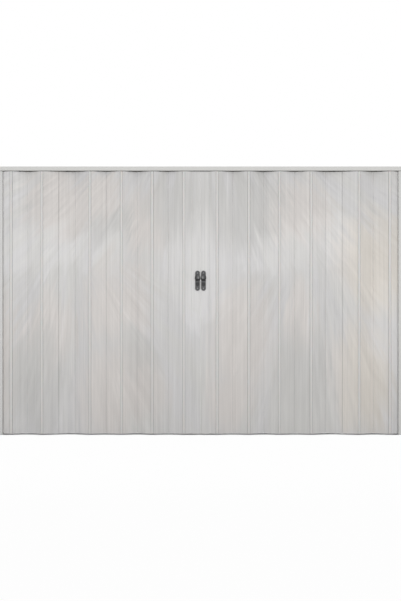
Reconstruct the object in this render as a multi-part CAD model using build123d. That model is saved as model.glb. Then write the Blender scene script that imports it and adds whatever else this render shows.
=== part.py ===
"""Double accordion door of hollow PVC slats, drawn closed.

Two leaves hang from one ceiling track and meet in the middle. Each leaf is a chain of
hollow slats joined by soft hinge strips. A jamb channel holds its outer end to the wall,
and a stiff lead post with a finger pull on both faces ends it in the middle.

The origin is at the middle of the track's top face. X runs along the opening, -Y is the
front and +Z is up. All lengths are millimetres.
"""

import os
from math import atan2, cos, degrees, radians, sin, sqrt

from build123d import *

# The whole door
door_height = 2140.0  # ceiling to floor
slat_pitch = 133.0  # from one hinge axis to the next, along a slat
lead_half_pitch = 63.5  # the shorter slat beside the lead post
wall_half_pitch = 76.0  # the shorter slat beside the jamb
fold_depth = 26.0  # how far the deepest hinge axes stand off the track's middle line
meeting_gap = 1.6  # between the two lead posts

# Each hinge axis of a leaf, from the lead post to the jamb: its distance in front of the
# track's middle line (minus) or behind it (plus), as a share of fold_depth
fold_shares = (-0.35, -1.0, 0.6, -1.0, 1.0, -1.0, 0.6, -1.0, 1.0, 0.1, -1.0, 1.0, -1.0, 0.0)
hung_slats = (2, 4, 6, 8, 9, 11)  # slats with a hanger, counted from the lead post

# Track
track_height = 33.0
track_depth = 50.0
track_wall = 2.0
track_lip_slot = 38.0  # open width between the two lips that the runners ride on
track_rib_height = 8.0  # raised band along the lower edge of both faces
track_rib_rise = 1.0
rear_drop = 4.0  # the rear face hangs this much lower and stops the light above the slats
track_hole_axes = (3, 7, 12)  # screw holes stand over these hinge axes, clear of runners
screw_hole = 5.0

# Slats
top_gap = 5.0  # track to slat
floor_gap = 6.0  # slat to floor
slat_thickness = 12.0
slat_wall = 1.1
slat_edge_chamfer = 0.8
slat_chambers = 3  # hollow chambers of a full slat, an odd number, so one is in the middle
web_thickness = 1.0
inner_seam = 0.5  # open width between two slats on the inner side of a fold
square_setback = 1.2  # from hinge axis to slat at post and jamb
straight_setback = 0.6  # the same, where the leaf runs straight on
straight_limit = 0.2  # below this the two slats at an axis count as one straight run

# Hinge strips
cap_width = 18.0
cap_overlap = 0.1  # the cap's edge reaches this far over the slat's outer corner
cap_base = 3.4  # the cap's underside lies this far to the outer side of its axis
cap_edge = 1.0
cap_crown = 2.1
cap_stem = 2.4
fin_thickness = 1.4
neck_length = 3.0  # from a slat's end to the head of the fin, on the slat's middle plane
head_thickness = 1.8
head_width = 4.6
seat_clearance = 0.3
strip_setback = 1.0  # a hinge strip ends this far inside the slats' ends

# Jambs
jamb_width = 24.0
jamb_depth = 42.0
jamb_wall = 2.0
jamb_lip = 6.0  # return lip on each flange
clip_setback = 1.0  # the clip's face lies this far inside the jamb's mouth
jamb_hole_heights = (250.0, 1850.0)  # screw holes above the floor

# Lead posts
post_width = 70.0
post_depth = 30.0
post_wall = 1.8
post_edge_radius = 4.0
post_floor_gap = 3.0
closing_groove_width = 18.6
closing_groove_depth = 3.2
closing_strip_width = 18.0
closing_strip_gap = 0.4  # between the two closing strips when the door is shut

# Hanging gear
stem_size = 5.0  # square stem of a hanger
stem_head_size = 11.0
stem_head_height = 4.0
stem_clearance = 0.9
collar_width = 12.0  # collar of a hanger on top of its plug
collar_height = 3.5
plug_depth = 28.0
shoe_length = 24.0
shoe_height = 8.0
shoe_corner_chamfer = 3.0
shoe_side_clearance = 0.4

# Finger pulls
pull_floor_height = 1228.0  # middle of a pull above the floor
pull_edge_distance = 5.0  # from the middle of the door to a pull's edge
pull_height = 160.0
pull_width = 37.5
pull_thickness = 7.0
pull_edge_chamfer = 2.2
lip_rise = 10.0  # the hood's lip above the pull's middle
hood_height = 36.0  # from the lip to where the hood runs into the plate
hood_width = 45.0
hood_reach = 22.0  # from the post to the lip
hood_wall = 2.4
dish_width = 28.0
dish_height = 62.0
dish_depth = 4.5
dish_start = 8.0  # the dish starts this far above the lip, under the hood

# Worked out from the sizes above
track_bottom = -track_height
floor_level = -door_height
slat_top = track_bottom - top_gap
slat_bottom = floor_level + floor_gap
slat_height = slat_top - slat_bottom
seat_depth = neck_length + head_thickness + seat_clearance
seat_width = head_width + 2 * seat_clearance
outer_setback = cap_width / 2 - cap_overlap
shoe_top = track_bottom + track_wall + shoe_height
post_outer_x = meeting_gap / 2 + post_width


def hinge_axes():
    """Hinge axes of the left leaf seen from above, from the lead post to the jamb."""
    x = -(post_outer_x + square_setback)
    axes = [Vector(x, fold_shares[0] * fold_depth)]
    full_slats = len(fold_shares) - 3
    pitches = [lead_half_pitch] + [slat_pitch] * full_slats + [wall_half_pitch]
    for i, pitch in enumerate(pitches):
        step = (fold_shares[i + 1] - fold_shares[i]) * fold_depth
        x -= sqrt(pitch**2 - step**2)
        axes.append(Vector(x, fold_shares[i + 1] * fold_depth))
    return axes


axes = hinge_axes()
jamb_mouth_x = axes[-1].X - square_setback + clip_setback
wall_x = jamb_mouth_x - jamb_width


def heading(start, end):
    """Direction from one axis to another, in degrees about Z."""
    return degrees(atan2(end.Y - start.Y, end.X - start.X))


def outward(i):
    """Direction to the outer side of the fold at axis i, or None where there is no fold."""
    if i in (0, len(axes) - 1):
        return None
    inward = (axes[i - 1] - axes[i]).normalized() + (axes[i + 1] - axes[i]).normalized()
    if inward.length < straight_limit:
        return None
    return inward.normalized() * -1


def inner_setback(i):
    """Setback of a slat's inner corner from axis i, which leaves the inner seam all but closed."""
    lean = radians(heading(axes[i], axes[i - 1]) - heading(axes[i + 1], axes[i])) / 2
    return (inner_seam / 2 + slat_thickness / 2 * abs(sin(lean))) / cos(lean)


def setbacks(i, normal):
    """Setbacks of a slat's end from axis i, on the face the normal points to and on the other."""
    outer_side = outward(i)
    if outer_side is None:
        plain = square_setback if i in (0, len(axes) - 1) else straight_setback
        return plain, plain
    if outer_side.dot(normal) > 0:
        return outer_setback, inner_setback(i)
    return inner_setback(i), outer_setback


def seat_start(i):
    """Setback of a slat's end from axis i, on the slat's middle plane."""
    return sum(setbacks(i, Vector(0, 1))) / 2


def fin(setback):
    """Fin with a flat head, from a hinge axis along +X into a slat's end."""
    neck = setback + neck_length
    head = Pos(neck + head_thickness / 2, 0) * Rectangle(head_thickness, head_width)
    return Pos(neck / 2, 0) * Rectangle(neck, fin_thickness) + head


def seat_cut(setback):
    """Slot and pocket that take a fin, with clearance all round."""
    neck = setback + neck_length
    slot = Pos(neck / 2, 0) * Rectangle(neck, fin_thickness + 2 * seat_clearance)
    pocket_length = head_thickness + 2 * seat_clearance
    pocket = Pos(neck + head_thickness / 2, 0) * Rectangle(pocket_length, seat_width)
    return slot + pocket


def hollow_ends(i):
    """Where the hollow of slat i starts and ends, from hinge axis i along the slat."""
    walls = seat_depth + slat_wall
    span = (axes[i + 1] - axes[i]).length
    return seat_start(i) + walls, span - seat_start(i + 1) - walls


def slat(i):
    """Slat from hinge axis i to the next, with slanted ends at folds and a seat in each end."""
    span = (axes[i + 1] - axes[i]).length
    angle = heading(axes[i], axes[i + 1])
    normal = Vector(1, 0).rotate(Axis.Z, angle + 90)
    start_up, start_down = setbacks(i, normal)
    end_up, end_down = setbacks(i + 1, normal)
    half = slat_thickness / 2
    outline = Polyline(
        (start_up, half), (span - end_up, half), (span - end_down, -half), (start_down, -half), close=True
    )
    profile = make_face(outline)
    profile = chamfer(profile.vertices(), slat_edge_chamfer)
    chambers = 1 if i in (0, len(axes) - 2) else slat_chambers
    hollow_start, hollow_end = hollow_ends(i)
    width = (hollow_end - hollow_start - (chambers - 1) * web_thickness) / chambers
    for k in range(chambers):
        middle = hollow_start + width / 2 + k * (width + web_thickness)
        profile -= Pos(middle, 0) * Rectangle(width, slat_thickness - 2 * slat_wall)
    profile -= seat_cut(seat_start(i))
    profile -= Pos(span, 0) * Rot(0, 0, 180) * seat_cut(seat_start(i + 1))
    return Pos(axes[i].X, axes[i].Y, slat_bottom) * Rot(0, 0, angle) * extrude(profile, slat_height)


def hinge_cap():
    """Domed cap over a fold on its stem, with the outer side towards +X."""
    half = cap_width / 2
    shoulder = cap_base + cap_edge
    edge = Polyline((shoulder, half), (cap_base, half), (cap_base, -half), (shoulder, -half))
    dome = ThreePointArc((shoulder, -half), (shoulder + cap_crown, 0), (shoulder, half))
    return make_face(edge + dome) + Pos(cap_base / 2, 0) * Rectangle(cap_base, cap_stem)


def hinge_strip(i):
    """Soft strip on axis i: a fin into each neighbour and, at a fold, a cap on its outer side."""
    outer_side = outward(i)
    towards_post = 0 if i == 0 else heading(axes[i], axes[i - 1])
    towards_jamb = 180 if i == len(axes) - 1 else heading(axes[i], axes[i + 1])
    setback = seat_start(i)
    profile = Rot(0, 0, towards_post) * fin(setback) + Rot(0, 0, towards_jamb) * fin(setback)
    if outer_side is not None:
        profile += Rot(0, 0, degrees(atan2(outer_side.Y, outer_side.X))) * hinge_cap()
    strip = extrude(profile, slat_height - 2 * strip_setback)
    return Pos(axes[i].X, axes[i].Y, slat_bottom + strip_setback) * strip


def leaf_hinge_strips():
    """All hinge strips of the left leaf. The end ones reach into the post and the jamb."""
    return Compound([hinge_strip(i) for i in range(len(axes))])


def track():
    """Channel with two inward lips and a raised band along the lower edge of each face."""
    section = Pos(0, -track_height / 2) * Rectangle(track_depth, track_height)
    section -= Pos(0, -track_height / 2) * Rectangle(
        track_depth - 2 * track_wall, track_height - 2 * track_wall
    )
    section -= Pos(0, track_bottom + track_wall / 2) * Rectangle(track_lip_slot, track_wall)
    for side in (-1, 1):
        band_y = side * (track_depth + track_rib_rise) / 2
        section += Pos(band_y, track_bottom + track_rib_height / 2) * Rectangle(
            track_rib_rise, track_rib_height
        )
    rear_y = track_depth / 2 + (track_rib_rise - track_wall) / 2
    section += Pos(rear_y, track_bottom - rear_drop / 2) * Rectangle(track_wall + track_rib_rise, rear_drop)
    channel = extrude(Plane.YZ * section, -wall_x, both=True)
    for i in track_hole_axes:
        for side in (-1, 1):
            hole_x = side * axes[i].X
            channel -= Pos(hole_x, 0, -track_wall / 2) * Cylinder(screw_hole / 2, 2 * track_wall)
    return channel


def jamb():
    """Left wall channel with return lips and a clip that takes the last hinge strip."""
    clip_thickness = seat_width + 2 * jamb_wall
    clip_length = jamb_width - jamb_wall - clip_setback
    clip_face_x = jamb_mouth_x - clip_setback
    middle_x = wall_x + jamb_width / 2
    profile = Pos(middle_x, 0) * Rectangle(jamb_width, jamb_depth)
    profile -= Pos(middle_x, 0) * Rectangle(jamb_width - 2 * jamb_wall, jamb_depth - 2 * jamb_wall)
    profile -= Pos(jamb_mouth_x - jamb_wall / 2, 0) * Rectangle(jamb_wall, jamb_depth - 2 * jamb_lip)
    profile += Pos(clip_face_x - clip_length / 2, 0) * Rectangle(clip_length, clip_thickness)
    profile -= Pos(axes[-1].X, 0) * Rot(0, 0, 180) * seat_cut(square_setback)
    hollow = clip_length - seat_depth - jamb_wall
    profile -= Pos(wall_x + jamb_wall + hollow / 2, 0) * Rectangle(hollow, clip_thickness - 2 * jamb_wall)
    channel = Pos(0, 0, floor_level) * extrude(profile, door_height - track_height)
    hole_y = -(clip_thickness / 2 + jamb_depth / 2 - jamb_lip) / 2
    for height in jamb_hole_heights:
        hole = Rot(0, 90, 0) * Cylinder(screw_hole / 2, 2 * jamb_wall)
        channel -= Pos(wall_x + jamb_wall / 2, hole_y, floor_level + height) * hole
    return channel


def lead_post():
    """Left lead post: two chambers, a hinge seat outside and a closing groove inside."""
    inner_x = -meeting_gap / 2
    outer_x = -post_outer_x
    middle_x = (inner_x + outer_x) / 2
    seat_length = seat_depth + post_wall
    groove_length = closing_groove_depth + post_wall
    chambers = Rectangle(post_width - 2 * post_wall, post_depth - 2 * post_wall)
    chambers = chamfer(chambers.vertices(), post_edge_radius - post_wall)
    chambers -= Rectangle(post_wall, post_depth)
    chambers = Pos(middle_x, 0) * chambers
    chambers -= Pos(outer_x + seat_length / 2, axes[0].Y) * Rectangle(
        seat_length, seat_width + 2 * post_wall
    )
    chambers -= Pos(inner_x - groove_length / 2, 0) * Rectangle(
        groove_length, closing_groove_width + 2 * post_wall
    )
    profile = Pos(middle_x, 0) * RectangleRounded(post_width, post_depth, post_edge_radius)
    profile -= chambers
    profile -= Pos(axes[0].X, axes[0].Y) * seat_cut(square_setback)
    profile -= Pos(inner_x - closing_groove_depth / 2, 0) * Rectangle(
        closing_groove_depth, closing_groove_width
    )
    bottom = floor_level + post_floor_gap
    return Pos(0, 0, bottom) * extrude(profile, slat_top - bottom)


def closing_strip():
    """Left closing strip, seated on the bottom of the lead post's groove."""
    thickness = closing_groove_depth + (meeting_gap - closing_strip_gap) / 2
    face_x = -closing_strip_gap / 2
    bottom = floor_level + post_floor_gap
    height = slat_top - bottom
    return Pos(face_x - thickness / 2, 0, bottom + height / 2) * Box(thickness, closing_strip_width, height)


def hanger(plug_width, plug_thickness):
    """Plug for a slat's open top, with a collar, a square stem and a head that hangs on a runner."""
    stem_length = shoe_top - slat_top
    plug = Pos(0, 0, -plug_depth / 2) * Box(plug_width, plug_thickness, plug_depth)
    collar = Pos(0, 0, collar_height / 2) * Box(collar_width, plug_thickness, collar_height)
    stem = Pos(0, 0, stem_length / 2) * Box(stem_size, stem_size, stem_length)
    head_middle = Pos(0, 0, stem_length + stem_head_height / 2)
    return plug + collar + stem + head_middle * Box(stem_head_size, stem_head_size, stem_head_height)


def post_hangers():
    """Position and plug width of the two hangers in the left lead post's chambers."""
    middle_x = -(meeting_gap + post_width) / 2
    outer_wall_x = -post_outer_x + seat_depth + post_wall
    inner_wall_x = -meeting_gap / 2 - closing_groove_depth - post_wall
    spans = (
        (outer_wall_x, middle_x - post_wall / 2),
        (middle_x + post_wall / 2, inner_wall_x),
    )
    return [((low + high) / 2, high - low - 2 * seat_clearance) for low, high in spans]


def slat_hangers():
    """Position, heading and room of the hanger in the middle chamber of each hung slat."""
    hung = []
    for i in hung_slats:
        start, end = hollow_ends(i)
        along = (axes[i + 1] - axes[i]).normalized()
        chamber = (end - start - (slat_chambers - 1) * web_thickness) / slat_chambers
        hung.append((axes[i] + along * ((start + end) / 2), heading(axes[i], axes[i + 1]), chamber))
    return hung


def leaf_hangers():
    """All hangers of the left leaf."""
    plug_thickness = slat_thickness - 2 * slat_wall - 2 * seat_clearance
    post_plug = post_depth - 2 * post_wall - 2 * seat_clearance
    gear = [Pos(x, 0, slat_top) * hanger(width, post_plug) for x, width in post_hangers()]
    for place, angle, chamber in slat_hangers():
        plugged = hanger(chamber - 2 * seat_clearance, plug_thickness)
        gear.append(Pos(place.X, place.Y, slat_top) * Rot(0, 0, angle) * plugged)
    return Compound(gear)


def shoe(stem_xs):
    """Runner that rides on the track's lips, with one cross slot for each stem."""
    length = max(stem_xs) - min(stem_xs) + shoe_length
    width = track_depth - 2 * track_wall - 2 * shoe_side_clearance
    plate = chamfer(Rectangle(length, width).vertices(), shoe_corner_chamfer)
    plate = Pos((max(stem_xs) + min(stem_xs)) / 2, 0) * plate
    for x in stem_xs:
        plate -= Pos(x, 0) * Rectangle(stem_size + 2 * stem_clearance, track_lip_slot)
    return Pos(0, 0, track_bottom + track_wall) * extrude(plate, shoe_height)


def leaf_runners():
    """The lead post's double runner and a single one over each hung slat."""
    runners = [shoe([x for x, width in post_hangers()])]
    for place, angle, chamber in slat_hangers():
        runners.append(shoe([place.X]))
    return Compound(runners)


def leaning_bar(radius, lean, length):
    """Round bar through the origin that leans towards +Y as it rises, by lean in radians."""
    return Rot(-degrees(lean), 0, 0) * Cylinder(radius, length)


def finger_pull():
    """Pull with its back on y = 0, facing -Y: rounded plate, leaning hood and scooped dish."""
    plate = extrude(Plane.XZ * SlotOverall(pull_height, pull_width, rotation=90), pull_thickness)
    plate = chamfer(plate.faces().sort_by(Axis.Y)[0].edges(), pull_edge_chamfer)

    radius = hood_width / 2
    lean = atan2(hood_reach - pull_thickness, hood_height)
    bar_length = 4 * (hood_height + hood_width)
    axis_place = Pos(0, radius / cos(lean) - hood_reach, lip_rise)
    room = Pos(0, -hood_reach / 2, lip_rise + hood_height / 2) * Box(hood_width, hood_reach, hood_height)
    hood = (axis_place * leaning_bar(radius, lean, bar_length)) & room
    cavity = axis_place * leaning_bar(radius - hood_wall, lean, bar_length)
    cavity &= Pos(0, -pull_thickness, 0) * room

    dish_radius = (dish_width**2 / 4 + dish_depth**2) / (2 * dish_depth)
    dish_lean = atan2(dish_depth, dish_height)
    dish_top = lip_rise + dish_start
    dish_axis_y = dish_depth - pull_thickness - dish_radius / cos(dish_lean)
    dish = Pos(0, dish_axis_y, dish_top) * leaning_bar(dish_radius, dish_lean, 4 * dish_height)
    dish &= Pos(0, 0, dish_top - dish_height) * Box(2 * dish_width, 2 * pull_thickness, 2 * dish_height)
    return plate + hood - cavity - dish


def placed_pull(facing):
    """Left finger pull on the front (-1) or the back (1) face of its lead post."""
    x = -(pull_edge_distance + pull_width / 2)
    turn = Rot(0, 0, 0) if facing < 0 else Rot(0, 0, 180)
    return Pos(x, facing * post_depth / 2, floor_level + pull_floor_height) * turn * finger_pull()


def left_parts():
    """Every piece of the left leaf and its jamb, by name."""
    parts = {
        "jamb": jamb(),
        "lead_post": lead_post(),
        "closing_strip": closing_strip(),
        "lead_half_slat": slat(0),
        "wall_half_slat": slat(len(axes) - 2),
        "hinge_strips": leaf_hinge_strips(),
        "hangers": leaf_hangers(),
        "runners": leaf_runners(),
        "front_finger_pull": placed_pull(-1),
        "back_finger_pull": placed_pull(1),
    }
    for i in range(1, len(axes) - 2):
        parts[f"slat_{i:02d}"] = slat(i)
    return parts


os.makedirs("parts", exist_ok=True)
export_step(track(), "parts/track.step")
for name, shape in left_parts().items():
    export_step(shape, f"parts/left_{name}.step")
    export_step(mirror(shape, Plane.YZ), f"parts/right_{name}.step")
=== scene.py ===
"""The looks of a double accordion door: pale ash print on PVC slats, soft hinges, charcoal pulls.

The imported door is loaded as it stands. Its plastic, nylon and rubber get their finishes here.
Moulded finger pulls take the place of the plain ones, and the screws, the soft webs in the folds
and the lips of the closing strips are added.
X runs along the opening, -Y is the front, +Z is up, in metres. The origin is at the middle of
the track's top face.
"""

import math

import bpy
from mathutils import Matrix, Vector


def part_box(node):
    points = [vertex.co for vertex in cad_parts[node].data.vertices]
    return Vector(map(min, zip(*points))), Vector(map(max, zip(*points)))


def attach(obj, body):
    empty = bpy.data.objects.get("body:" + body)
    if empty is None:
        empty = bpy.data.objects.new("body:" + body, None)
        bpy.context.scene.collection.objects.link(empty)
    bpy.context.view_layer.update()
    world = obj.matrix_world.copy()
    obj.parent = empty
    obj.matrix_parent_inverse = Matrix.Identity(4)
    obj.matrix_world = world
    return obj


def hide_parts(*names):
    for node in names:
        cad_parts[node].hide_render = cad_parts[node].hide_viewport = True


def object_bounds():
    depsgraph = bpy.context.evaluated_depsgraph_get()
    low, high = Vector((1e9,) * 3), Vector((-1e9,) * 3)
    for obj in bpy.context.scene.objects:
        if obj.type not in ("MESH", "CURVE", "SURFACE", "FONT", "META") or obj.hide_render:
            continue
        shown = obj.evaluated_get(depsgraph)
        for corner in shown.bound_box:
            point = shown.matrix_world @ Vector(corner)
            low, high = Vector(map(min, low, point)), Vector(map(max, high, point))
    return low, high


mm = 0.001
quarter_turn = math.radians(90)
half_turn = math.radians(180)
full_turn = math.radians(360)

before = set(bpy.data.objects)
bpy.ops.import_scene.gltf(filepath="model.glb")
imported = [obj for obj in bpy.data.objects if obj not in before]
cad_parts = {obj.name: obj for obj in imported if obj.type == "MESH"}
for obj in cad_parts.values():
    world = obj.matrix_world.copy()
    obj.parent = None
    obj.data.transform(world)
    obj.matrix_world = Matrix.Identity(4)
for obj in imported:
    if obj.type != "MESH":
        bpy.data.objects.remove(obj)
cad_low, cad_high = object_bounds()

# The door's own sizes
floor_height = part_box("left_jamb")[0].z
post_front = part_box("left_lead_post")[0].y
post_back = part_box("left_lead_post")[1].y
track_low, track_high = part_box("track")
track_web = 2 * mm
wall_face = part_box("right_jamb")[1].x
jamb_web = 2 * mm
jamb_inner_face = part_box("left_jamb")[1].y - jamb_web

# The leaves, each with its direction from the middle
leaves = (("left", -1), ("right", 1))

# The faces of the lead posts: name, place on Y, turn of what is fixed there, way out along Y
post_faces = (("front", post_front, 0.0, -1), ("back", post_back, half_turn, 1))

# Finger pulls
pull_middle_x = 23.75 * mm
pull_middle_z = -912 * mm
pull_height = 160 * mm
pull_width = 37.5 * mm
pull_thickness = 7 * mm
pull_edge_round = 2.4 * mm
pull_outline_points = 72
dish_width = 28 * mm
dish_top = 17 * mm
dish_bottom = -45 * mm
dish_push = 3.45 * mm
dish_floor_width_share = 0.72
dish_floor_height_share = 0.86
dish_floor_lean = math.radians(3)
dish_edge_round = 2.4 * mm
hood_width = 45 * mm
hood_reach = 22 * mm
hood_half_height = 29 * mm
hood_middle_z = 22 * mm
hood_lip_z = 10 * mm
hood_wall = 2.4 * mm
hood_lip_round = 0.7 * mm

# Screws
screw_outline_points = 40
pull_screw_rise = 61 * mm
pull_screw_head = 8 * mm
pull_screw_raise = 1.5 * mm
pull_screw_sink = 0.9 * mm
pull_screw_seat_depth = 2.4 * mm
pull_screw_seat_inner_width = 6.4 * mm
pull_screw_seat_outer_width = 10.56 * mm
frame_screw_head = 9 * mm
frame_screw_raise = 2.2 * mm
track_screw_places = (385.86 * mm, 883.34 * mm, 1511.4 * mm)
jamb_screw_heights = (250 * mm, 1850 * mm)
jamb_screw_y = -9.8 * mm

# The soft webs in the inner corners of the folds, counted from the lead post
fold_web_width = 1.4 * mm
fold_web_depth = 2.5 * mm
fold_web_groove = 0.2 * mm
fold_web_setback = 8.6 * mm
folds_to_the_front = (1, 3, 5, 7, 10, 12)
folds_to_the_back = (2, 4, 6, 8, 11)

# The soft web in the groove beside each lead post
post_web_width = 2.4 * mm
post_web_depth = 2.9 * mm
post_web_groove = 0.1 * mm
post_web_back_share = 0.1
post_web_setback = 0.8 * mm

# The closing strips' lips between the posts
closing_lip_width = 1.25 * mm
closing_lip_depth = 3.9 * mm
closing_lip_groove = 0.1 * mm
closing_lip_back_share = 0.45
closing_lip_gap = 0.1 * mm
closing_lip_setback = 2.0 * mm

# The points that the streaks of the print run out from
upper_focus_z = 0.86
left_focus_x = -1.03
left_focus_z = -0.44
right_focus_x = 0.89
right_focus_z = -0.20
least_drop = 0.05

# Where the print is warm, as x, z, half width and half height in metres
warm_patches = (
    (-1.12, -0.32, 0.27, 0.24),
    (-0.80, -0.22, 0.20, 0.18),
    (-0.44, -0.48, 0.16, 0.28),
    (-0.66, -1.10, 0.26, 0.30),
    (-1.22, -1.34, 0.20, 0.26),
    (-0.62, -1.78, 0.34, 0.34),
    (-1.57, -1.50, 0.10, 0.50),
    (0.80, -0.38, 0.26, 0.26),
    (1.38, -0.78, 0.30, 0.36),
    (0.33, -1.38, 0.24, 0.44),
    (0.80, -1.22, 0.12, 0.28),
    (1.28, -1.66, 0.24, 0.40),
    (0.24, -1.84, 0.20, 0.26),
)

# Where it is bleached
bleached_patches = (
    (-1.36, -0.66, 0.36, 0.20),
    (-0.90, -0.68, 0.26, 0.16),
    (0.02, -0.72, 0.26, 0.30),
    (0.62, -0.70, 0.34, 0.16),
    (1.02, -0.60, 0.22, 0.20),
    (-1.52, -0.14, 0.18, 0.26),
    (1.50, -1.25, 0.16, 0.34),
    (0.02, -1.04, 0.22, 0.18),
)

# Where it is a little darker
smoky_patches = (
    (-1.32, -1.66, 0.24, 0.32),
    (-0.70, -0.46, 0.18, 0.16),
    (-0.22, -0.34, 0.24, 0.24),
    (0.32, -0.34, 0.34, 0.28),
    (0.80, -1.70, 0.18, 0.40),
    (-0.46, -1.50, 0.14, 0.20),
)


# Node building


def shade(red, green, blue):
    """A colour given in 0 to 255 steps, as the linear value that a shader takes."""
    last_step = 255
    straight_end = 0.04045
    straight_slope = 12.92
    curve_offset = 0.055
    curve_power = 2.4
    linear = []
    for step in (red, green, blue):
        share = step / last_step
        if share <= straight_end:
            linear.append(share / straight_slope)
        else:
            linear.append(((share + curve_offset) / (1 + curve_offset)) ** curve_power)
    return (*linear, 1.0)


def finish_named(name):
    """A new finish: its material, node tree and main shader."""
    finish = bpy.data.materials.new(name)
    finish.use_nodes = True
    tree = finish.node_tree
    return finish, tree, tree.nodes["Principled BSDF"]


def feed(tree, value, socket):
    """Puts a number, a colour or another node's output into a socket."""
    if isinstance(value, bpy.types.NodeSocket):
        tree.links.new(value, socket)
    else:
        socket.default_value = value


def sums(tree, operation, first, second=0.0, third=0.0):
    """One step of arithmetic on numbers."""
    step = tree.nodes.new("ShaderNodeMath")
    step.operation = operation
    feed(tree, first, step.inputs[0])
    feed(tree, second, step.inputs[1])
    if operation == "MULTIPLY_ADD":
        feed(tree, third, step.inputs[2])
    return step.outputs["Value"]


def product(tree, first, second):
    """Two numbers multiplied."""
    return sums(tree, "MULTIPLY", first, second)


def difference(tree, first, second):
    """The first number less the second."""
    return sums(tree, "SUBTRACT", first, second)


def scaled(tree, value, factor, offset):
    """A number times a factor, plus an offset."""
    return sums(tree, "MULTIPLY_ADD", value, factor, offset)


def swing(tree, noise, depth, level):
    """A level that noise from 0 to 1 moves up and down."""
    noise_middle = 0.5
    return scaled(tree, difference(tree, noise, noise_middle), depth, level)


def squares(tree, first, second):
    """The sum of the squares of two numbers."""
    return sums(tree, "ADD", product(tree, first, first), product(tree, second, second))


def spread(tree, value, low, high, new_low=0.0, new_high=1.0):
    """Maps low..high on to new_low..new_high with soft ends."""
    step = tree.nodes.new("ShaderNodeMapRange")
    step.interpolation_type = "SMOOTHSTEP"
    feed(tree, value, step.inputs["Value"])
    step.inputs["From Min"].default_value = low
    step.inputs["From Max"].default_value = high
    step.inputs["To Min"].default_value = new_low
    step.inputs["To Max"].default_value = new_high
    return step.outputs["Result"]


def number_mix(tree, share, first, second):
    """Mixes two numbers by a share."""
    step = tree.nodes.new("ShaderNodeMix")
    feed(tree, share, step.inputs["Factor"])
    feed(tree, first, step.inputs["A"])
    feed(tree, second, step.inputs["B"])
    return step.outputs["Result"]


def blend(tree, share, first, second):
    """Mixes two colours by a share."""
    step = tree.nodes.new("ShaderNodeMix")
    step.data_type = "RGBA"
    feed(tree, share, step.inputs["Factor"])
    feed(tree, first, step.inputs["A"])
    feed(tree, second, step.inputs["B"])
    return step.outputs["Result"]


def brightened(tree, colour, amount):
    """A colour made lighter or darker: an amount of 1 leaves it as it is."""
    step = tree.nodes.new("ShaderNodeVectorMath")
    step.operation = "SCALE"
    feed(tree, colour, step.inputs[0])
    feed(tree, amount, step.inputs["Scale"])
    return step.outputs["Vector"]


def object_place(tree):
    """The point on the door that is being coloured, in metres."""
    return tree.nodes.new("ShaderNodeTexCoord").outputs["Object"]


def axes(tree, place):
    """The three numbers of a point: along the opening, from front to back, and upwards."""
    step = tree.nodes.new("ShaderNodeSeparateXYZ")
    tree.links.new(place, step.inputs["Vector"])
    return step.outputs["X"], step.outputs["Y"], step.outputs["Z"]


def cloud(tree, place, scale, detail=3.0, roughness=0.5, distortion=0.0):
    """Soft noise from 0 to 1."""
    step = tree.nodes.new("ShaderNodeTexNoise")
    tree.links.new(place, step.inputs["Vector"])
    step.inputs["Scale"].default_value = scale
    step.inputs["Detail"].default_value = detail
    step.inputs["Roughness"].default_value = roughness
    step.inputs["Distortion"].default_value = distortion
    return step.outputs["Fac"]


def drawn_out(tree, place, stretch, detail, roughness=0.5, distortion=0.0):
    """Soft noise with its own scale along each of X, Y and Z."""
    step = tree.nodes.new("ShaderNodeMapping")
    tree.links.new(place, step.inputs["Vector"])
    step.inputs["Scale"].default_value = stretch
    return cloud(
        tree,
        step.outputs["Vector"],
        scale=1.0,
        detail=detail,
        roughness=roughness,
        distortion=distortion,
    )


def openness(tree, reach):
    """How open a point lies, from 0 deep in a corner to 1 on a free face."""
    step = tree.nodes.new("ShaderNodeAmbientOcclusion")
    step.samples = 8
    step.inputs["Distance"].default_value = reach
    return step.outputs["AO"]


def relief(tree, shader, height, strength, depth):
    """Raises a surface by a pattern."""
    step = tree.nodes.new("ShaderNodeBump")
    step.inputs["Strength"].default_value = strength
    step.inputs["Distance"].default_value = depth
    tree.links.new(height, step.inputs["Height"])
    tree.links.new(step.outputs["Normal"], shader.inputs["Normal"])


# Finishes


def patches(tree, across, height, places):
    """The soft patches of the print, as one number that is 1 in the middle of each."""
    total = None
    for x, z, half_width, half_height in places:
        off_x = sums(tree, "DIVIDE", difference(tree, across, x), half_width)
        off_z = sums(tree, "DIVIDE", difference(tree, height, z), half_height)
        patch = spread(tree, squares(tree, off_x, off_z), low=1.9, high=0.1)
        total = patch if total is None else sums(tree, "MAXIMUM", total, patch)
    return total


def fan(tree, across, drop, seed, streaks, length, detail=4.0):
    """Streaks of the print that spread downwards from a point, as a wide brush leaves them."""
    turn = sums(tree, "ARCTAN2", across, drop)
    reach = sums(tree, "SQRT", squares(tree, across, drop))
    step = tree.nodes.new("ShaderNodeCombineXYZ")
    feed(tree, product(tree, turn, streaks), step.inputs["X"])
    feed(tree, product(tree, reach, length), step.inputs["Y"])
    feed(tree, seed, step.inputs["Z"])
    place = step.outputs["Vector"]
    return cloud(tree, place, scale=1.0, detail=detail, roughness=0.62, distortion=0.25)


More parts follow.
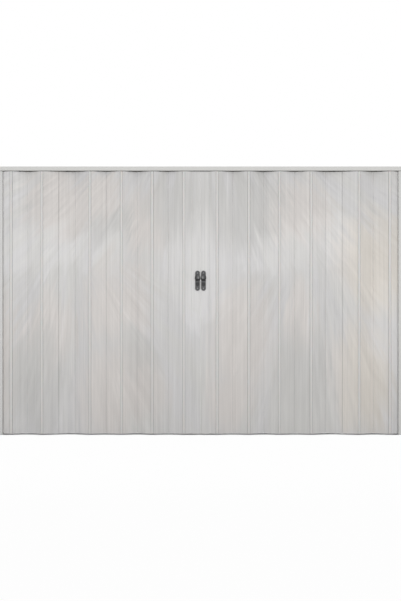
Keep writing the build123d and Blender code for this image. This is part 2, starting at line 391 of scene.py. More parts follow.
def print_streaks(tree, place):
    """The fine streaks of the print and its broad tones."""
    across, _, height = axes(tree, place)
    off_middle = sums(tree, "ABSOLUTE", across)
    waver = cloud(tree, place, scale=2.3, detail=2.0)

    # The upper streaks come down from over the middle, the lower ones from the middle of each leaf
    right = sums(tree, "GREATER_THAN", across, 0.0)
    upper_drop = difference(tree, upper_focus_z, height)
    leaf_focus_x = scaled(tree, right, right_focus_x - left_focus_x, left_focus_x)
    leaf_focus_z = scaled(tree, right, right_focus_z - left_focus_z, left_focus_z)
    leaf_across = difference(tree, across, leaf_focus_x)
    lower_drop = sums(tree, "MAXIMUM", difference(tree, leaf_focus_z, height), least_drop)
    border = scaled(tree, waver, factor=0.5, offset=height)
    lower_share = spread(tree, border, low=-0.42, high=-0.78)

    fine_upper = fan(tree, across, upper_drop, seed=3.0, streaks=52.0, length=3.2)
    fine_lower = fan(tree, leaf_across, lower_drop, seed=right, streaks=24.0, length=1.7)
    fine = number_mix(tree, lower_share, fine_upper, fine_lower)
    lower_seed = sums(tree, "ADD", right, 5.0)
    broad_upper = fan(tree, across, upper_drop, seed=8.0, streaks=11.0, length=1.0, detail=3.0)
    broad_lower = fan(tree, leaf_across, lower_drop, lower_seed, streaks=5.5, length=0.9, detail=3.0)
    tone = number_mix(tree, lower_share, broad_upper, broad_lower)

    # Where the leaves meet, the streaks stand upright
    upright_border = scaled(tree, waver, factor=0.2, offset=off_middle)
    upright_share = spread(tree, upright_border, low=0.56, high=0.24)
    upright = drawn_out(tree, place, stretch=(26, 26, 1.3), detail=4.0, roughness=0.6, distortion=0.3)
    return number_mix(tree, upright_share, fine, upright), tone


def print_tint(tree, across, tone, warm, smoky):
    """The print's colour: a plain grey that turns cool, rosy, straw-coloured or smoky."""
    plain = shade(200, 199, 197)
    rosy_tint = shade(204, 200, 197)
    straw_tint = shade(206, 201, 194)
    cool_tint = shade(200, 199, 201)
    smoky_tint = shade(191, 190, 188)
    most_smoke = 0.7
    straw_border = scaled(tree, tone, factor=0.9, offset=across)
    straw_share = spread(tree, straw_border, low=1.35, high=1.75)
    warm_tint = blend(tree, straw_share, rosy_tint, straw_tint)
    cool_share = spread(tree, tone, low=0.35, high=0.65, new_high=0.6)
    colour = blend(tree, cool_share, plain, cool_tint)
    colour = blend(tree, warm, colour, warm_tint)
    return blend(tree, product(tree, smoky, most_smoke), colour, smoky_tint)


def hinge_shade(tree, across):
    """Painted shade in the corners along the hinge strips, left out at the posts and the jambs."""
    off_middle = sums(tree, "ABSOLUTE", across)
    # Painted shade: darker where a point lies closed in
    dust_and_shade = spread(tree, openness(tree, reach=6 * mm), low=0.55, high=0.92, new_low=0.78, new_high=0.0)
    past_post = spread(tree, off_middle, low=0.09, high=0.11)
    before_jamb = spread(tree, off_middle, low=1.56, high=1.54)
    return product(tree, dust_and_shade, product(tree, past_post, before_jamb))


def ash_print():
    """Bleached ash printed on PVC: feathery streaks, warm and cool patches, upright grain."""
    finish, tree, shader = finish_named("ash_print_on_slats")
    place = object_place(tree)
    across, _, height = axes(tree, place)
    streak, tone = print_streaks(tree, place)

    # Patches with borders that follow the streaks
    drifted_x = swing(tree, streak, depth=0.36, level=across)
    drifted_z = swing(tree, tone, depth=0.8, level=height)
    warm = patches(tree, drifted_x, drifted_z, warm_patches)
    bleached = patches(tree, drifted_x, drifted_z, bleached_patches)
    smoky = patches(tree, drifted_x, drifted_z, smoky_patches)
    colour = print_tint(tree, across, tone, warm, smoky)

    # Upright grain, drawn out along the slat
    grain = drawn_out(tree, place, stretch=(95, 95, 1.1), detail=4.0, roughness=0.65)
    fine_grain = drawn_out(tree, place, stretch=(620, 620, 9), detail=3.0, roughness=0.6)
    pores = drawn_out(tree, place, stretch=(900, 900, 26), detail=2.0)

    # How much lighter or darker the streaks, grain, bleached patches, pores and painted hinge shade
    # make it
    unevenness = cloud(tree, place, scale=3.1, detail=2.0)
    streak_depth = spread(tree, unevenness, low=0.36, high=0.62, new_low=0.12, new_high=0.40)
    lift = swing(tree, streak, streak_depth, level=1.0)
    lift = swing(tree, grain, depth=0.36, level=lift)
    lift = swing(tree, fine_grain, depth=0.10, level=lift)
    lift = scaled(tree, bleached, factor=0.085, offset=lift)
    lift = difference(tree, lift, spread(tree, pores, low=0.66, high=0.78, new_high=0.05))
    lift = product(tree, lift, difference(tree, 1.0, hinge_shade(tree, across)))
    tree.links.new(brightened(tree, colour, lift), shader.inputs["Base Color"])

    roughness = scaled(tree, fine_grain, factor=0.16, offset=0.40)
    tree.links.new(roughness, shader.inputs["Roughness"])
    shader.inputs["Specular IOR Level"].default_value = 0.35
    ridges = scaled(tree, grain, factor=0.5, offset=fine_grain)
    ridges = scaled(tree, pores, factor=0.4, offset=ridges)
    relief(tree, shader, ridges, strength=0.35, depth=0.25 * mm)
    return finish


def within(tree, off_middle, inner_face):
    """Whether a point lies further in than the outer side of a wall, as a number from 0 to 1."""
    return spread(tree, off_middle, low=inner_face + 0.9 * mm, high=inner_face + 0.3 * mm)


def frame_pvc():
    """The pale profile of the track and jambs: faint lengthwise draw marks, painted shade in the
    track, painted light in the jambs.
    """
    finish, tree, shader = finish_named("pale_frame_pvc")
    place = object_place(tree)
    _, depth, height = axes(tree, place)
    off_middle = sums(tree, "ABSOLUTE", depth)
    is_track = spread(tree, height, low=track_low.z - mm, high=track_low.z + mm)
    along_track = drawn_out(tree, place, stretch=(3, 420, 420), detail=3.0, roughness=0.6)
    along_jamb = drawn_out(tree, place, stretch=(420, 420, 3), detail=3.0, roughness=0.6)
    marks = number_mix(tree, is_track, along_jamb, along_track)
    haze = cloud(tree, place, scale=4.0, detail=4.0)
    colour = blend(tree, haze, shade(200, 200, 198), shade(208, 207, 204))
    lift = scaled(tree, marks, factor=0.10, offset=0.91)
    lift = scaled(tree, is_track, factor=0.05, offset=lift)
    colour = brightened(tree, colour, lift)

    # Painted shade on the inside of the track, which darkens the slit above the slats
    in_track = product(tree, within(tree, off_middle, track_high.y - track_web), is_track)
    below_top = spread(tree, height, low=-0.5 * mm, high=-1.5 * mm)
    track_inside_shade = blend(tree, haze, shade(112, 110, 107), shade(134, 132, 129))
    colour = blend(tree, product(tree, in_track, below_top), colour, track_inside_shade)

    # Painted light: the inside of a jamb is made whiter, which lifts the shade in its groove
    is_jamb = difference(tree, 1.0, is_track)
    lit_jamb_inside = product(tree, within(tree, off_middle, jamb_inner_face), is_jamb)
    colour = blend(tree, lit_jamb_inside, colour, shade(238, 238, 236))
    tree.links.new(colour, shader.inputs["Base Color"])
    tree.links.new(scaled(tree, marks, factor=0.2, offset=0.34), shader.inputs["Roughness"])
    shader.inputs["Specular IOR Level"].default_value = 0.4
    relief(tree, shader, marks, strength=0.3, depth=0.1 * mm)
    return finish


def soft_hinge_pvc():
    """Soft PVC of the hinge strips: smoother than the slats, milky, with painted shade in its
    corners.
    """
    finish, tree, shader = finish_named("soft_hinge_pvc")
    place = object_place(tree)
    draw_marks = drawn_out(tree, place, stretch=(900, 900, 4), detail=2.0)
    haze = drawn_out(tree, place, stretch=(6, 6, 2), detail=3.0)
    colour = blend(tree, haze, shade(201, 200, 198), shade(208, 206, 204))
    lift = scaled(tree, draw_marks, factor=0.08, offset=0.96)
    # Painted shade in the corners
    corner_shade = spread(tree, openness(tree, reach=3 * mm), low=0.35, high=0.80, new_low=0.45)
    lift = product(tree, lift, corner_shade)
    tree.links.new(brightened(tree, colour, lift), shader.inputs["Base Color"])
    tree.links.new(scaled(tree, haze, factor=0.2, offset=0.30), shader.inputs["Roughness"])
    shader.inputs["Subsurface Weight"].default_value = 0.08
    shader.inputs["Subsurface Scale"].default_value = 2 * mm
    relief(tree, shader, draw_marks, strength=0.2, depth=0.1 * mm)
    return finish


def dark_nylon():
    """Moulded nylon of the hangers and runners, rubbed paler where it slides."""
    finish, tree, shader = finish_named("dark_nylon")
    place = object_place(tree)
    skin = cloud(tree, place, scale=900.0)
    rub_and_sheen = cloud(tree, place, scale=60.0, detail=4.0, roughness=0.6)
    rubbed = spread(tree, rub_and_sheen, low=0.55, high=0.8)
    colour = blend(tree, rubbed, shade(24, 24, 26), shade(56, 55, 54))
    tree.links.new(colour, shader.inputs["Base Color"])
    tree.links.new(scaled(tree, rub_and_sheen, factor=0.25, offset=0.38), shader.inputs["Roughness"])
    relief(tree, shader, skin, strength=0.25, depth=0.1 * mm)
    return finish


def painted_highlight_spot(tree, off_middle, height, rub_and_sheen, on_hood):
    """A painted highlight on the inner flank of a hood, as a number from 0 to 1."""
    off_x = difference(tree, off_middle, 16 * mm)
    off_z = difference(tree, height, pull_middle_z + 25 * mm)
    off_spot = sums(tree, "SQRT", squares(tree, off_x, off_z))
    spot = product(tree, spread(tree, off_spot, low=14 * mm, high=3 * mm), on_hood)
    return product(tree, spot, spread(tree, rub_and_sheen, low=0.3, high=0.6, new_low=0.6))


def pull_shading(tree, off_middle, height, stand, on_hood):
    """How much of its brightness a pull keeps under painted shade, by its place on the pull."""
    # Painted shade on the outer flank of the hood
    outer_flank_shade = spread(tree, off_middle, low=22 * mm, high=36 * mm, new_high=0.55)
    outer_flank_shade = product(tree, outer_flank_shade, on_hood)

    # Painted shade in the dish, with a painted lighter band below the hood's lip
    rise = difference(tree, height, pull_middle_z)
    lit_band_from = spread(tree, rise, low=-15 * mm, high=-10 * mm)
    lit_band_to = spread(tree, rise, low=-2 * mm, high=-6 * mm)
    lit_band = product(tree, lit_band_from, lit_band_to)
    off_dish = sums(tree, "ABSOLUTE", difference(tree, off_middle, pull_middle_x))
    dish_shade = spread(tree, off_dish, low=15 * mm, high=13 * mm, new_high=0.62)
    dish_shade = product(tree, spread(tree, stand, low=6.6 * mm, high=4.2 * mm), dish_shade)
    dish_shade = product(tree, dish_shade, scaled(tree, lit_band, factor=-0.7, offset=1.0))

    # A painted shadow under the lip
    lip_shadow_from = spread(tree, rise, low=-4 * mm, high=1 * mm, new_high=0.84)
    lip_shadow_to = spread(tree, rise, low=15 * mm, high=11 * mm)
    lip_shadow = product(tree, lip_shadow_from, lip_shadow_to)
    pull_shade = sums(tree, "MAXIMUM", sums(tree, "MAXIMUM", outer_flank_shade, dish_shade), lip_shadow)
    return scaled(tree, lit_band, factor=0.35, offset=difference(tree, 1.0, pull_shade))


def pull_plastic():
    """Charcoal moulded plastic with a satin skin, with painted highlights and painted shade."""
    finish, tree, shader = finish_named("charcoal_pull_plastic")
    place = object_place(tree)
    across, depth, height = axes(tree, place)
    off_middle = sums(tree, "ABSOLUTE", across)
    stand = difference(tree, sums(tree, "ABSOLUTE", depth), post_back)
    on_hood = spread(tree, stand, low=7.5 * mm, high=9 * mm)
    skin = cloud(tree, place, scale=1500.0, roughness=0.6)
    rub_and_sheen = cloud(tree, place, scale=42.0)
    flow = drawn_out(tree, place, stretch=(140, 140, 20), detail=3.0)
    colour = blend(tree, flow, shade(72, 72, 74), shade(88, 88, 89))
    # A painted highlight on the inner flank of each hood
    spot = painted_highlight_spot(tree, off_middle, height, rub_and_sheen, on_hood)
    colour = blend(tree, spot, colour, shade(118, 118, 118))
    # The painted shade, shadow and lighter band of the pull
    colour = brightened(tree, colour, pull_shading(tree, off_middle, height, stand, on_hood))
    # Painted shade in the pull's hollows and corners
    corner_shade = spread(tree, openness(tree, reach=12 * mm), low=0.42, high=0.92, new_low=0.05)
    colour = brightened(tree, colour, corner_shade)
    tree.links.new(colour, shader.inputs["Base Color"])
    roughness = spread(tree, rub_and_sheen, low=0.35, high=0.7, new_low=0.46, new_high=0.30)
    tree.links.new(roughness, shader.inputs["Roughness"])
    shader.inputs["Specular IOR Level"].default_value = 0.55
    relief(tree, shader, skin, strength=0.22, depth=0.12 * mm)
    return finish


def closing_rubber():
    """Pale soft rubber of the closing strips, with a finely ribbed skin."""
    finish, tree, shader = finish_named("pale_closing_rubber")
    place = object_place(tree)
    ribs = drawn_out(tree, place, stretch=(700, 700, 5), detail=2.0)
    dust_and_shade = cloud(tree, place, scale=22.0, detail=4.0)
    colour = blend(tree, dust_and_shade, shade(208, 207, 205), shade(217, 216, 213))
    tree.links.new(colour, shader.inputs["Base Color"])
    tree.links.new(scaled(tree, dust_and_shade, factor=0.2, offset=0.55), shader.inputs["Roughness"])
    relief(tree, shader, ribs, strength=0.3, depth=0.15 * mm)
    return finish


def bright_steel():
    """Zinc-plated steel of the frame's screws, with faint turning marks."""
    finish, tree, shader = finish_named("zinc_plated_steel")
    place = object_place(tree)
    marks = cloud(tree, place, scale=2200.0, detail=2.0)
    tarnish = cloud(tree, place, scale=260.0)
    colour = blend(tree, tarnish, shade(172, 172, 170), shade(206, 205, 200))
    tree.links.new(colour, shader.inputs["Base Color"])
    shader.inputs["Metallic"].default_value = 1.0
    tree.links.new(scaled(tree, tarnish, factor=0.25, offset=0.24), shader.inputs["Roughness"])
    relief(tree, shader, marks, strength=0.15, depth=0.05 * mm)
    return finish


def dark_steel():
    """Blackened steel of the screws in the pulls, worn down to the grey metal."""
    finish, tree, shader = finish_named("blackened_steel")
    place = object_place(tree)
    marks = cloud(tree, place, scale=2200.0, detail=2.0)
    wear = cloud(tree, place, scale=420.0)
    worn = spread(tree, wear, low=0.45, high=0.75)
    colour = blend(tree, worn, shade(156, 156, 157), shade(192, 191, 189))
    tree.links.new(colour, shader.inputs["Base Color"])
    shader.inputs["Metallic"].default_value = 1.0
    tree.links.new(scaled(tree, wear, factor=0.25, offset=0.28), shader.inputs["Roughness"])
    relief(tree, shader, marks, strength=0.15, depth=0.05 * mm)
    return finish


finishes = {
    "slat_pvc": ash_print(),
    "frame_pvc": frame_pvc(),
    "hinge_pvc": soft_hinge_pvc(),
    "grey_nylon": dark_nylon(),
    "pull_plastic": pull_plastic(),
    "closing_rubber": closing_rubber(),
}
screw_steel = bright_steel()
pull_screw_steel = dark_steel()


def dress_door():
    """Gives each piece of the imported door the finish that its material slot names."""
    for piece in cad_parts.values():
        for slot in piece.material_slots:
            slot.material = finishes[slot.material.name]


# Modelling tools


def start_clean():
    """Leaves edit mode with nothing selected."""
    if bpy.context.object and bpy.context.object.mode != "OBJECT":
        bpy.ops.object.mode_set(mode="OBJECT")
    bpy.ops.object.select_all(action="DESELECT")


def select_only(piece):
    """Selects one piece and makes it the active one."""
    start_clean()
    piece.select_set(True)
    bpy.context.view_layer.objects.active = piece


def settle(piece):
    """Moves a piece's place, turn and size into its mesh."""
    select_only(piece)
    bpy.ops.object.transform_apply(location=True, rotation=True, scale=True)


def pick(piece, kind, test):
    """Selects the points, edges or faces of a piece that pass a test, and nothing else."""
    bpy.ops.object.mode_set(mode="EDIT")
    bpy.ops.mesh.select_mode(type=kind)
    bpy.ops.mesh.select_all(action="DESELECT")
    bpy.ops.object.mode_set(mode="OBJECT")
    mesh = piece.data
    parts = {"VERT": mesh.vertices, "EDGE": mesh.edges, "FACE": mesh.polygons}
    for part in parts[kind]:
        part.select = test(part)
    bpy.ops.object.mode_set(mode="EDIT")


def faces_front(face):
    """Whether a face looks towards the front."""
    return face.normal.y < -0.9


def apply_modifier(piece, kind, **settings):
    """Adds a modifier to a piece and applies it."""
    select_only(piece)
    modifier = piece.modifiers.new(kind.lower(), kind)
    for setting, value in settings.items():
        setattr(modifier, setting, value)
    bpy.ops.object.modifier_apply(modifier=modifier.name)


def round_edges(piece, width, sharper_than):
    """Rounds the edges of a piece that are sharper than an angle."""
    limit = math.radians(sharper_than)
    apply_modifier(piece, "BEVEL", width=width, segments=3, limit_method="ANGLE", angle_limit=limit)


def cut_away(piece, cutter):
    """Takes the shape of a cutter out of a piece."""
    apply_modifier(piece, "BOOLEAN", operation="DIFFERENCE", solver="EXACT", object=cutter)
    discard(cutter)


def smooth(piece, sharp_from=35):
    """Smooth shading with the edges kept sharp that turn by more than an angle."""
    select_only(piece)
    bpy.ops.object.shade_smooth_by_angle(angle=math.radians(sharp_from))


def joined(pieces, name):
    """Joins several pieces into one."""
    start_clean()
    for piece in pieces:
        piece.select_set(True)
    bpy.context.view_layer.objects.active = pieces[0]
    bpy.ops.object.join()
    whole = bpy.context.object
    whole.name = name
    return whole


def dress(piece, finish):
    """Gives a new piece its one finish."""
    piece.data.materials.clear()
    piece.data.materials.append(finish)


def placed_copy(piece, name, place, turn=0.0, tilt=0.0):
    """A copy with a mesh of its own, tilted about X, turned about Z and put in its place."""
    copy = piece.copy()
    copy.data = piece.data.copy()
    copy.name = name
    copy.data.name = name
    bpy.context.scene.collection.objects.link(copy)
    copy.rotation_euler = (tilt, 0.0, turn)
    copy.location = place
    settle(copy)
    return copy


def discard(piece):
    """Takes away a pattern or a cutter that has done its work."""
    bpy.data.objects.remove(piece, do_unlink=True)


# The finger pull, modelled at the origin with its back on Y = 0


def on_front_outline(plate, edge):
    """Whether an edge of the plate is one where its front face meets its side wall."""
    near = 0.001 * mm
    inside_outline = 0.05 * mm
    straight = (pull_height - pull_width) / 2
    for i in edge.vertices:
        point = plate.data.vertices[i].co
        past_end = max(abs(point.z) - straight, 0.0)
        if abs(point.y + pull_thickness) >= near:
            return False
        if math.hypot(point.x, past_end) <= pull_width / 2 - inside_outline:
            return False
    return True


def pull_plate():
    """Long plate with round ends, a soft front edge and a scooped dish."""
    start_clean()
    half_step = full_turn / pull_outline_points / 2
    bpy.ops.mesh.primitive_cylinder_add(
        vertices=pull_outline_points,
        radius=pull_width / 2,
        depth=pull_thickness,
        location=(0, -pull_thickness / 2, 0),
        rotation=(quarter_turn, half_step, 0),
    )
    plate = bpy.context.object
    plate.name = "pull_plate"
    settle(plate)
    straight = (pull_height - pull_width) / 2
    pick(plate, "VERT", lambda point: point.co.z > 0)
    bpy.ops.transform.translate(value=(0, 0, straight))
    pick(plate, "VERT", lambda point: point.co.z < 0)
    bpy.ops.transform.translate(value=(0, 0, -straight))

    # An inner line on the front face, so that the edge outside it can be rounded
    inner_line = pull_edge_round * 1.2
    pick(plate, "FACE", faces_front)
    bpy.ops.mesh.inset(thickness=inner_line)
    pick(plate, "EDGE", lambda edge: on_front_outline(plate, edge))
    bpy.ops.mesh.bevel(offset=pull_edge_round, segments=6, profile=0.5)

    # The dish: a smaller round-ended face, pushed in and leaned so that it is deepest at the top
    third_of_plate = pull_height * pull_width / 3
    pick(plate, "FACE", lambda face: faces_front(face) and face.area > third_of_plate)
    bpy.ops.mesh.inset(thickness=(pull_width - 2 * inner_line - dish_width) / 2)
    top_now = pull_height / 2 - (pull_width - dish_width) / 2
    bpy.ops.object.mode_set(mode="OBJECT")
    dish_points = set()
    for face in plate.data.polygons:
        if face.select:
            dish_points.update(face.vertices)
    for i in dish_points:
        point = plate.data.vertices[i].co
        point.z += dish_top - top_now if point.z > 0 else dish_bottom + top_now
    bpy.ops.object.mode_set(mode="EDIT")
    bpy.ops.mesh.extrude_region_move(TRANSFORM_OT_translate={"value": (0, dish_push, 0)})
    dish_middle = (dish_top + dish_bottom) / 2
    bpy.ops.transform.resize(
        value=(dish_floor_width_share, 1, dish_floor_height_share),
        center_override=(0, 0, dish_middle),
    )
    bpy.ops.transform.rotate(
        value=-dish_floor_lean,
        orient_axis="X",
        orient_type="GLOBAL",
        center_override=(0, -pull_thickness + dish_push, dish_middle),
    )
    bpy.ops.mesh.bevel(offset=dish_edge_round, segments=5, profile=0.5)
    bpy.ops.object.mode_set(mode="OBJECT")
    return plate


def pull_hood():
    """Domed hood over the dish, open below, with an even wall and a rounded lip."""
    start_clean()
    bpy.ops.mesh.primitive_uv_sphere_add(
        segments=72,
        ring_count=40,
        radius=1.0,
        location=(0, 0, hood_middle_z),
        scale=(hood_width / 2, hood_reach, hood_half_height),
    )
    hood = bpy.context.object
    hood.name = "pull_hood"
    settle(hood)
    just_before_back = -0.02 * mm
    bpy.ops.object.mode_set(mode="EDIT")
    bpy.ops.mesh.select_all(action="SELECT")
    bpy.ops.mesh.bisect(plane_co=(0, 0, hood_lip_z), plane_no=(0, 0, 1), clear_inner=True)
    bpy.ops.mesh.select_all(action="SELECT")
    bpy.ops.mesh.bisect(plane_co=(0, just_before_back, 0), plane_no=(0, 1, 0), clear_outer=True)
    bpy.ops.object.mode_set(mode="OBJECT")
    apply_modifier(hood, "SOLIDIFY", thickness=hood_wall, offset=-1.0, use_even_offset=True)
    round_edges(hood, hood_lip_round, sharper_than=50)
    return hood


def screw(name, head_width, head_raise):
    """Raised screw head with a cross recess, its back on Y = 0 and its face towards -Y."""
    start_clean()
    bpy.ops.mesh.primitive_cylinder_add(
        vertices=screw_outline_points,
        radius=head_width / 2,
        depth=head_raise,
        location=(0, -head_raise / 2, 0),
        rotation=(quarter_turn, 0, 0),
    )
    head = bpy.context.object
    head.name = name
    settle(head)

    # The face rises in two steps, the lower one the steeper, to a crown above the rim
    lower_step_in = head_width * 0.16
    lower_step_out = head_raise * 0.28
    upper_step_in = head_width * 0.12
    upper_step_out = head_raise * 0.10
    crown = head_raise + lower_step_out + upper_step_out
    edge_round = head_raise * 0.18
    pick(head, "FACE", faces_front)
    bpy.ops.mesh.inset(thickness=lower_step_in)
    bpy.ops.transform.translate(value=(0, -lower_step_out, 0))
    bpy.ops.mesh.inset(thickness=upper_step_in)
    bpy.ops.transform.translate(value=(0, -upper_step_out, 0))
    bpy.ops.object.mode_set(mode="OBJECT")
    round_edges(head, edge_round, sharper_than=25)

    # The recess is cut by two crossed bars that get thinner inwards
    bar_length = head_width * 0.52
    bar_width = head_width * 0.12
    bar_height = head_raise * 1.1
    inner_share = 0.55
    for across, upright in ((bar_length, bar_width), (bar_width, bar_length)):
        start_clean()
        bpy.ops.mesh.primitive_cube_add(
            size=1.0,
            location=(0, -crown, 0),
            scale=(across, bar_height, upright),
        )
        bar = bpy.context.object
        settle(bar)
        pick(bar, "VERT", lambda point: point.co.y > -head_raise)
        bpy.ops.transform.resize(value=(inner_share, 1, inner_share), center_override=(0, 0, 0))
        bpy.ops.object.mode_set(mode="OBJECT")
        cut_away(head, bar)
    smooth(head)
    return head


def seat_screws(plate):
    """Cuts the tapered seats of the two screws into a pull's plate."""
    for rise in (pull_screw_rise, -pull_screw_rise):
        start_clean()
        bpy.ops.mesh.primitive_cone_add(
            vertices=screw_outline_points,
            radius1=pull_screw_seat_inner_width / 2,
            radius2=pull_screw_seat_outer_width / 2,
            depth=pull_screw_seat_depth,
            location=(0, -pull_thickness, rise),
            rotation=(quarter_turn, 0, 0),
        )
        seat = bpy.context.object
        settle(seat)
        cut_away(plate, seat)


def make_pulls():
    """Four pulls, one on each face of each lead post, with two screws each."""
    plate = pull_plate()
    seat_screws(plate)
    hood = pull_hood()
    pattern = joined([plate, hood], "pull")
    smooth(pattern, sharp_from=32)
    dress(pattern, finishes["pull_plastic"])
    head = screw("pull_screw", pull_screw_head, pull_screw_raise)
    dress(head, pull_screw_steel)
    for side, sign in leaves:
        for face, surface, turn, out in post_faces:
            place = Vector((sign * pull_middle_x, surface, pull_middle_z))
            pull = placed_copy(pattern, f"{side}_{face}_moulded_pull", place, turn)
            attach(pull, "root")
            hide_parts(f"{side}_{face}_finger_pull")
            for number, rise in enumerate((pull_screw_rise, -pull_screw_rise), 1):
                spot = place + Vector((0, out * (pull_thickness - pull_screw_sink), rise))
                fixed = placed_copy(head, f"{side}_{face}_pull_screw_{number}", spot, turn)
                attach(fixed, "root")
    discard(pattern)
    discard(head)


# Soft webs, lips and the frame's screws


def slat_row(side):
    """The names of a leaf's slats, from the lead post to the wall."""
    full_slats = [f"{side}_slat_{number:02d}" for number in range(1, 12)]
    return [f"{side}_lead_half_slat"] + full_slats + [f"{side}_wall_half_slat"]


def soft_web(name, width, depth, back_share, groove, finish):
    """A soft web as tall as the hinge strips, grooved down its front, its back width a share."""
    groove_rim_share = 0.2
    strips_low, strips_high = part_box("left_hinge_strips")
    start_clean()
    bpy.ops.mesh.primitive_cube_add(
        size=1.0,
        location=(0, depth / 2, (strips_low.z + strips_high.z) / 2),
        scale=(width, depth, strips_high.z - strips_low.z),
    )
    web = bpy.context.object
    web.name = name
    settle(web)
    pick(web, "VERT", lambda point: point.co.y > depth / 2)
    bpy.ops.transform.resize(value=(back_share, 1, 1), center_override=(0, 0, 0))
    pick(web, "FACE", faces_front)
    bpy.ops.mesh.inset(thickness=width * groove_rim_share)
    bpy.ops.transform.translate(value=(0, groove, 0))
    bpy.ops.object.mode_set(mode="OBJECT")
    smooth(web)
    dress(web, finish)
    return web


def leaf_fold_webs(side, sign, pattern):
    """One web in the inner corner of each fold of a leaf."""
    webs = []
    row = slat_row(side)
    for fold, (near, far) in enumerate(zip(row[:-1], row[1:]), 1):
        near_low, near_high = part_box(near)
        far_low, far_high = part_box(far)
        across = (near_high.x + far_low.x) / 2 if sign > 0 else (near_low.x + far_high.x) / 2
        if fold in folds_to_the_back:
            place = Vector((across, min(near_high.y, far_high.y) - fold_web_setback, 0))
            webs.append(placed_copy(pattern, f"{side}_fold_web_{fold:02d}", place))
        elif fold in folds_to_the_front:
            place = Vector((across, max(near_low.y, far_low.y) + fold_web_setback, 0))
            webs.append(placed_copy(pattern, f"{side}_fold_web_{fold:02d}", place, half_turn))
    return webs


def make_fold_webs():
    """The part of each hinge strip that closes the inner corner of its fold."""
    soft_pvc = finishes["hinge_pvc"]
    pattern = soft_web("fold_web", fold_web_width, fold_web_depth, 1.0, fold_web_groove, soft_pvc)
    post_pattern = soft_web(
        "post_web", post_web_width, post_web_depth, post_web_back_share, post_web_groove, soft_pvc
    )
    for side, sign in leaves:
        webs = leaf_fold_webs(side, sign, pattern)
        post_low, post_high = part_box(f"{side}_lead_post")
        post_side = post_high.x if sign > 0 else post_low.x
        for face, surface, turn, out in post_faces:
            place = Vector((post_side, surface - out * post_web_setback, 0))
            webs.append(placed_copy(post_pattern, f"{side}_{face}_post_web", place, turn))
        all_webs = joined(webs, f"{side}_fold_webs")
        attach(all_webs, "root")
    discard(pattern)
    discard(post_pattern)


def make_closing_lips():
    """The pale lips of the two closing strips, which show between the posts."""
    pattern = soft_web(
        "closing_lip",
        closing_lip_width,
        closing_lip_depth,
        closing_lip_back_share,
        closing_lip_groove,
        finishes["closing_rubber"],
    )
    for side, sign in leaves:
        across = sign * (closing_lip_gap + closing_lip_width / 2)
        both_lips = []
        for face, surface, turn, out in post_faces:
            place = Vector((across, surface - out * closing_lip_setback, 0))
            both_lips.append(placed_copy(pattern, f"{side}_{face}_closing_lip", place, turn))
        lips = joined(both_lips, f"{side}_closing_lips")
        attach(lips, "root")
    discard(pattern)


def make_frame_screws():
    """The screws that hold the track to the lintel and the jambs to the walls."""
    head = screw("frame_screw", frame_screw_head, frame_screw_raise)
    dress(head, screw_steel)
    for side, sign in leaves:
        for number, reach in enumerate(track_screw_places, 1):
            place = Vector((sign * reach, 0, track_high.z - track_web))
            fixed = placed_copy(head, f"{side}_track_screw_{number}", place, tilt=quarter_turn)
            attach(fixed, "root")
        for number, rise in enumerate(jamb_screw_heights, 1):
            place = Vector((sign * (wall_face - jamb_web), jamb_screw_y, floor_height + rise))
            face_in = -sign * quarter_turn
            fixed = placed_copy(head, f"{side}_jamb_screw_{number}", place, face_in)
            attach(fixed, "root")
    discard(head)


# Room, light and camera


def white_room():
    """A white surround for the camera and for reflections, and an even grey light for the rest."""
    world = bpy.data.worlds.new("white_room")
    bpy.context.scene.world = world
    world.use_nodes = True
    tree = world.node_tree
    tree.nodes.clear()
    rays = tree.nodes.new("ShaderNodeLightPath")
    seen = sums(tree, "MAXIMUM", rays.outputs["Is Camera Ray"], rays.outputs["Is Transmission Ray"])
    seen = sums(tree, "MAXIMUM", seen, rays.outputs["Is Glossy Ray"])
    even_light = tree.nodes.new("ShaderNodeBackground")
    even_light.inputs["Color"].default_value = (1, 1, 1, 1)
    even_light.inputs["Strength"].default_value = 0.58
    white = tree.nodes.new("ShaderNodeBackground")
    white.inputs["Color"].default_value = (1, 1, 1, 1)
    white.inputs["Strength"].default_value = 1.0
    choice = tree.nodes.new("ShaderNodeMixShader")
    tree.links.new(seen, choice.inputs["Fac"])
    tree.links.new(even_light.outputs["Background"], choice.inputs[1])
    tree.links.new(white.outputs["Background"], choice.inputs[2])
    output = tree.nodes.new("ShaderNodeOutputWorld")
    tree.links.new(choice.outputs["Shader"], output.inputs["Surface"])


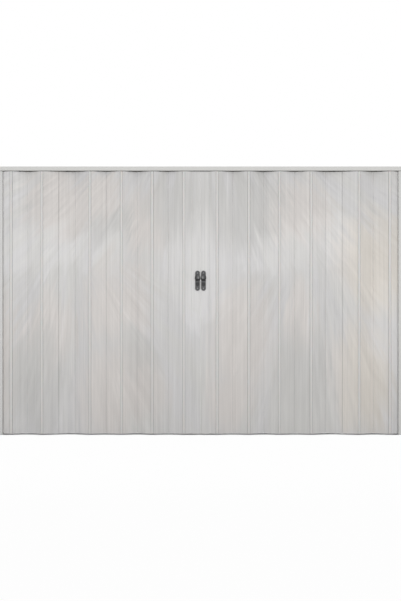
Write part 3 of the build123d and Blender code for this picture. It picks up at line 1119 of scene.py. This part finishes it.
def white_floor():
    """A plain white floor that keeps a soft part of the door's shadow, with a painted contact shadow.
    """
    start_clean()
    bpy.ops.mesh.primitive_plane_add(size=60, location=(0, 0, floor_height))
    floor = bpy.context.object
    floor.name = "studio_floor"
    settle(floor)
    paint, tree, shader = finish_named("white_floor_paint")
    shader.inputs["Base Color"].default_value = (0.82, 0.82, 0.82, 1)
    shader.inputs["Roughness"].default_value = 0.8
    shader.inputs["Specular IOR Level"].default_value = 0.1

    # For the camera the floor glows white, and a painted contact shadow dims it close to the door
    glow = tree.nodes.new("ShaderNodeEmission")
    glow.inputs["Color"].default_value = (1, 1, 1, 1)
    glow_with_painted_shadow = spread(tree, openness(tree, reach=100 * mm), low=0.56, high=0.72)
    tree.links.new(glow_with_painted_shadow, glow.inputs["Strength"])
    rays = tree.nodes.new("ShaderNodeLightPath")
    glow_share = 0.97
    share = product(tree, rays.outputs["Is Camera Ray"], glow_share)
    mixed = tree.nodes.new("ShaderNodeMixShader")
    tree.links.new(share, mixed.inputs["Fac"])
    tree.links.new(shader.outputs["BSDF"], mixed.inputs[1])
    tree.links.new(glow.outputs["Emission"], mixed.inputs[2])
    tree.links.new(mixed.outputs["Shader"], tree.nodes["Material Output"].inputs["Surface"])
    floor.data.materials.append(paint)


def softbox(name, place, aim, width, height, power):
    """A rectangular soft light that looks at a point."""
    start_clean()
    bpy.ops.object.light_add(type="AREA", location=place)
    lamp = bpy.context.object
    lamp.name = name
    lamp.data.shape = "RECTANGLE"
    lamp.data.size = width
    lamp.data.size_y = height
    lamp.data.energy = power
    direction = Vector(aim) - Vector(place)
    lamp.rotation_euler = direction.to_track_quat("-Z", "Y").to_euler()
    lamp.visible_camera = False
    lamp.visible_glossy = False


def studio_lights():
    """A long soft light in front, between pull height and the top, and a weaker one behind."""
    softbox(
        "front_softbox", place=(0, -2.2, -0.5), aim=(0, 0, -0.62), width=9.0, height=0.7, power=64.5
    )
    softbox("back_softbox", place=(0, 2.6, -0.3), aim=(0, 0, -0.8), width=8.0, height=1.2, power=58)


def straight_on_camera():
    """A camera in front of the door's middle that fits its width to the picture."""
    distance = 6.5
    door_width = cad_high.x - cad_low.x
    picture_width_share = 401 / 601
    bpy.ops.object.camera_add(
        location=(0, -distance, (cad_low.z + cad_high.z) / 2),
        rotation=(quarter_turn, 0, 0),
    )
    camera = bpy.context.object
    camera.name = "straight_on_camera"
    camera.data.sensor_fit = "AUTO"
    camera.data.sensor_width = 36
    seen_height = door_width / picture_width_share
    camera.data.lens = camera.data.sensor_width * distance / seen_height
    camera.data.clip_end = 200
    bpy.context.scene.camera = camera


dress_door()
make_pulls()
make_fold_webs()
make_closing_lips()
make_frame_screws()
white_room()
white_floor()
studio_lights()
start_clean()
straight_on_camera()
bpy.context.scene.view_settings.view_transform = "Standard"
